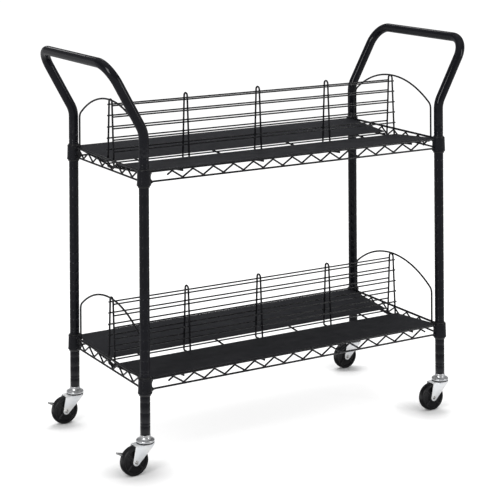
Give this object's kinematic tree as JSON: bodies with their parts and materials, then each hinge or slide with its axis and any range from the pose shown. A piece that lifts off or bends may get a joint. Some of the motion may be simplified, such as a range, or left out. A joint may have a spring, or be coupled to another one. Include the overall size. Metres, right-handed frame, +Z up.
{
  "type": "book cart",
  "caption": "Two-tier black wire book cart with centre dividers, end bookstops, solid shelf liners, sloping push handles and swivel casters, two with brakes.",
  "frame": {"origin": "on the floor, under the middle of the cart", "axes": "+X along the length to the end without brakes, +Y to the rear, +Z up"},
  "size_m": [1.1214, 0.4698, 1.0222],
  "materials": {
    "black_powder_coat": "semi-gloss black powder coat",
    "charcoal_liner": "matte, fine texture",
    "black_sleeve_plastic": "satin",
    "bright_zinc": "bright zinc plate",
    "rivet_steel": "satin",
    "black_seal_rubber": "matte",
    "wheel_rubber": "satin",
    "sintered_brass": "satin"
  },
  "bodies": {
    "cart_frame": {"post_front_left": "black_powder_coat", "post_front_right": "black_powder_coat", "post_rear_left": "black_powder_coat", "post_rear_right": "black_powder_coat", "handle_left": "black_powder_coat", "handle_right": "black_powder_coat", "handle_couplers": "bright_zinc", "post_inserts": "bright_zinc", "upper_rim_top_wires": "black_powder_coat", "upper_rim_bottom_wires": "black_powder_coat", "upper_truss_zigzags": "black_powder_coat", "upper_cross_wires": "black_powder_coat", "upper_deck_wires": "black_powder_coat", "upper_corner_collars": "black_powder_coat", "upper_divider_uprights": "black_powder_coat", "upper_divider_rails": "black_powder_coat", "upper_end_arches": "black_powder_coat", "upper_split_sleeves": "black_sleeve_plastic", "upper_liner_front": "charcoal_liner", "upper_liner_rear": "charcoal_liner", "lower_rim_top_wires": "black_powder_coat", "lower_rim_bottom_wires": "black_powder_coat", "lower_truss_zigzags": "black_powder_coat", "lower_cross_wires": "black_powder_coat", "lower_deck_wires": "black_powder_coat", "lower_corner_collars": "black_powder_coat", "lower_divider_uprights": "black_powder_coat", "lower_divider_rails": "black_powder_coat", "lower_end_arches": "black_powder_coat", "lower_split_sleeves": "black_sleeve_plastic", "lower_liner_front": "charcoal_liner", "lower_liner_rear": "charcoal_liner", "caster_stems": "bright_zinc", "caster_caps": "bright_zinc", "caster_seals": "black_seal_rubber", "swivel_balls": "rivet_steel"},
    "caster_front_left": {"caster_fork_front_left": "bright_zinc", "caster_axle_front_left": "rivet_steel"},
    "wheel_front_left": {"caster_wheel_front_left": "wheel_rubber", "wheel_bushing_front_left": "sintered_brass"},
    "brake_front_left": {"brake_lever_front_left": "bright_zinc"},
    "caster_front_right": {"caster_fork_front_right": "bright_zinc", "caster_axle_front_right": "rivet_steel"},
    "wheel_front_right": {"caster_wheel_front_right": "wheel_rubber", "wheel_bushing_front_right": "sintered_brass"},
    "caster_rear_left": {"caster_fork_rear_left": "bright_zinc", "caster_axle_rear_left": "rivet_steel"},
    "wheel_rear_left": {"caster_wheel_rear_left": "wheel_rubber", "wheel_bushing_rear_left": "sintered_brass"},
    "brake_rear_left": {"brake_lever_rear_left": "bright_zinc"},
    "caster_rear_right": {"caster_fork_rear_right": "bright_zinc", "caster_axle_rear_right": "rivet_steel"},
    "wheel_rear_right": {"caster_wheel_rear_right": "wheel_rubber", "wheel_bushing_rear_right": "sintered_brass"}
  },
  "joints": [
    {"name": "swivel_front_left", "type": "hinge", "parent": "cart_frame", "child": "caster_front_left", "pos_m": [-0.452, -0.212, 0.0752], "axis": [0, 0, 1], "continuous": true},
    {"name": "wheel_spin_front_left", "type": "hinge", "parent": "caster_front_left", "child": "wheel_front_left", "pos_m": [-0.483, -0.212, 0.036], "axis": [0, 1, 0], "continuous": true},
    {"name": "brake_press_front_left", "type": "hinge", "parent": "caster_front_left", "child": "brake_front_left", "pos_m": [-0.483, -0.212, 0.036], "axis": [0, 1, 0], "range_deg": [-24, 0]},
    {"name": "swivel_front_right", "type": "hinge", "parent": "cart_frame", "child": "caster_front_right", "pos_m": [0.452, -0.212, 0.0752], "axis": [0, 0, 1], "continuous": true},
    {"name": "wheel_spin_front_right", "type": "hinge", "parent": "caster_front_right", "child": "wheel_front_right", "pos_m": [0.421, -0.212, 0.036], "axis": [0, 1, 0], "continuous": true},
    {"name": "swivel_rear_left", "type": "hinge", "parent": "cart_frame", "child": "caster_rear_left", "pos_m": [-0.452, 0.212, 0.0752], "axis": [0, 0, 1], "continuous": true},
    {"name": "wheel_spin_rear_left", "type": "hinge", "parent": "caster_rear_left", "child": "wheel_rear_left", "pos_m": [-0.483, 0.212, 0.036], "axis": [0, 1, 0], "continuous": true},
    {"name": "brake_press_rear_left", "type": "hinge", "parent": "caster_rear_left", "child": "brake_rear_left", "pos_m": [-0.483, 0.212, 0.036], "axis": [0, 1, 0], "range_deg": [-24, 0]},
    {"name": "swivel_rear_right", "type": "hinge", "parent": "cart_frame", "child": "caster_rear_right", "pos_m": [0.452, 0.212, 0.0752], "axis": [0, 0, 1], "continuous": true},
    {"name": "wheel_spin_rear_right", "type": "hinge", "parent": "caster_rear_right", "child": "wheel_rear_right", "pos_m": [0.421, 0.212, 0.036], "axis": [0, 1, 0], "continuous": true}
  ]
}
